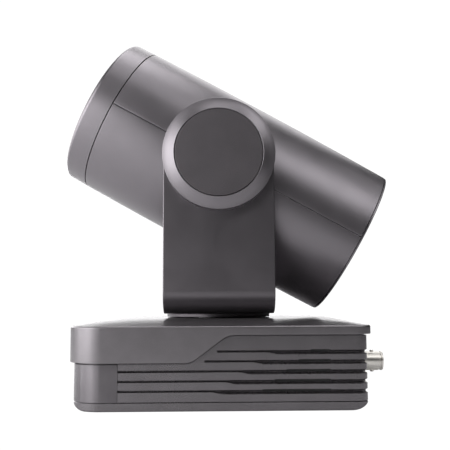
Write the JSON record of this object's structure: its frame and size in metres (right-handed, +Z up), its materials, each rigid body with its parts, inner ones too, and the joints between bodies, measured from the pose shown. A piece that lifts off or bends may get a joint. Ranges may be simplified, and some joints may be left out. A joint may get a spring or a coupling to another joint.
{
  "type": "ptz camera",
  "caption": "Pan-tilt-zoom conference camera: flat base with side louvres and rear sockets, U-shaped panning yoke, tilting barrel head with a zoom lens.",
  "frame": {"origin": "mouth of the tripod thread under the base, on the pan axis", "axes": "+Z up along the pan axis, lens towards -Y at pan zero, +X to the side with the visible louvres"},
  "size_m": [0.142, 0.1818, 0.2],
  "materials": {
    "body_paint": "satin dark grey paint",
    "yoke_paint": "satin dark grey paint on die-cast aluminium",
    "base_plastic": "fine satin moulded plastic",
    "cap_face": "matte dark grey",
    "smoked_window": "glossy smoked acrylic",
    "optical_glass": "coated glass",
    "front_glass": "tinted flat glass",
    "lens_black": "matt black",
    "nickel": "bright nickel",
    "steel": "zinc plated",
    "dark_steel": "black oxide screws",
    "aluminium": "machined",
    "brass": "turned",
    "gear_plastic": "moulded acetal",
    "circuit_board": "solder mask",
    "port_shell": "stamped shell",
    "port_black": "moulded",
    "insulator_white": "PTFE",
    "rubber_black": "matt",
    "led_lens": "translucent"
  },
  "bodies": {
    "base": {"bottom_tray": "base_plastic", "tripod_socket": "brass", "rubber_feet": "rubber_black", "tray_screws": "dark_steel", "main_housing": "base_plastic", "top_cover": "body_paint", "ir_window": "smoked_window", "front_board": "circuit_board", "ir_receivers": "port_black", "status_led": "led_lens", "rear_panel": "base_plastic", "port_board": "circuit_board", "main_board": "circuit_board", "board_standoffs": "brass", "deck_posts": "aluminium", "pan_deck": "steel", "pan_bearing": "steel", "pan_motor": "steel", "bnc_jack": "nickel", "bnc_insulator": "insulator_white", "bnc_contact": "brass", "hdmi_port": "port_shell", "usb_port": "port_shell", "lan_port": "port_shell", "serial_port": "port_shell", "audio_jack": "port_black", "dc_jack": "port_black"},
    "yoke": {"yoke_bracket": "yoke_paint", "yoke_floor_plate": "yoke_paint", "pan_turntable": "lens_black", "pan_spindle": "steel", "pan_gear": "gear_plastic", "yoke_screws": "dark_steel", "left_hub_cover": "body_paint", "right_hub_cover": "body_paint", "left_hub_cap": "cap_face", "right_hub_cap": "cap_face", "left_axle": "steel", "right_axle": "steel", "tilt_gear": "gear_plastic"},
    "pan_drive": {"pan_pinion": "brass"},
    "head": {"front_ring": "body_paint", "front_glass": "front_glass", "lens_mask": "lens_black", "lens_tube": "lens_black", "front_lens": "optical_glass", "zoom_housing": "lens_black", "guide_rods": "steel", "sensor_board": "circuit_board", "upper_shell": "body_paint", "lower_shell": "body_paint", "rear_cap": "body_paint", "head_frame": "steel", "tilt_bearings": "steel", "tilt_motor": "steel", "head_board": "circuit_board", "head_standoffs": "brass"},
    "tilt_drive": {"tilt_pinion": "brass"},
    "zoom_group": {"zoom_lens_group": "lens_black"},
    "focus_group": {"focus_lens_group": "lens_black"}
  },
  "joints": [
    {"name": "pan", "type": "hinge", "parent": "base", "child": "yoke", "pos_m": [0, 0, 0], "axis": [0, 0, 1], "range_deg": [-170, 170]},
    {"name": "tilt", "type": "hinge", "parent": "yoke", "child": "head", "pos_m": [0, 0, 0.126], "axis": [-1, 0, 0], "range_deg": [-58.79, 1.21]},
    {"name": "pan_motor_spin", "type": "hinge", "parent": "base", "child": "pan_drive", "pos_m": [0, -0.036, 0.02], "axis": [0, 0, 1], "range_deg": [-690, 690]},
    {"name": "tilt_motor_spin", "type": "hinge", "parent": "head", "child": "tilt_drive", "pos_m": [-0.02, 0.01709, 0.11661], "axis": [-1, 0, 0], "range_deg": [-200, 10]},
    {"name": "zoom_slide", "type": "slide", "parent": "head", "child": "zoom_group", "axis": [0, 0.8764, -0.4816], "range_m": [0, 0.014]},
    {"name": "focus_slide", "type": "slide", "parent": "head", "child": "focus_group", "axis": [0, 0.8764, -0.4816], "range_m": [-0.003, 0.003]}
  ],
  "couplings": [
    {"joint": "pan_motor_spin", "follows": "pan", "ratio": -4},
    {"joint": "tilt_motor_spin", "follows": "tilt", "ratio": 3.3333}
  ]
}
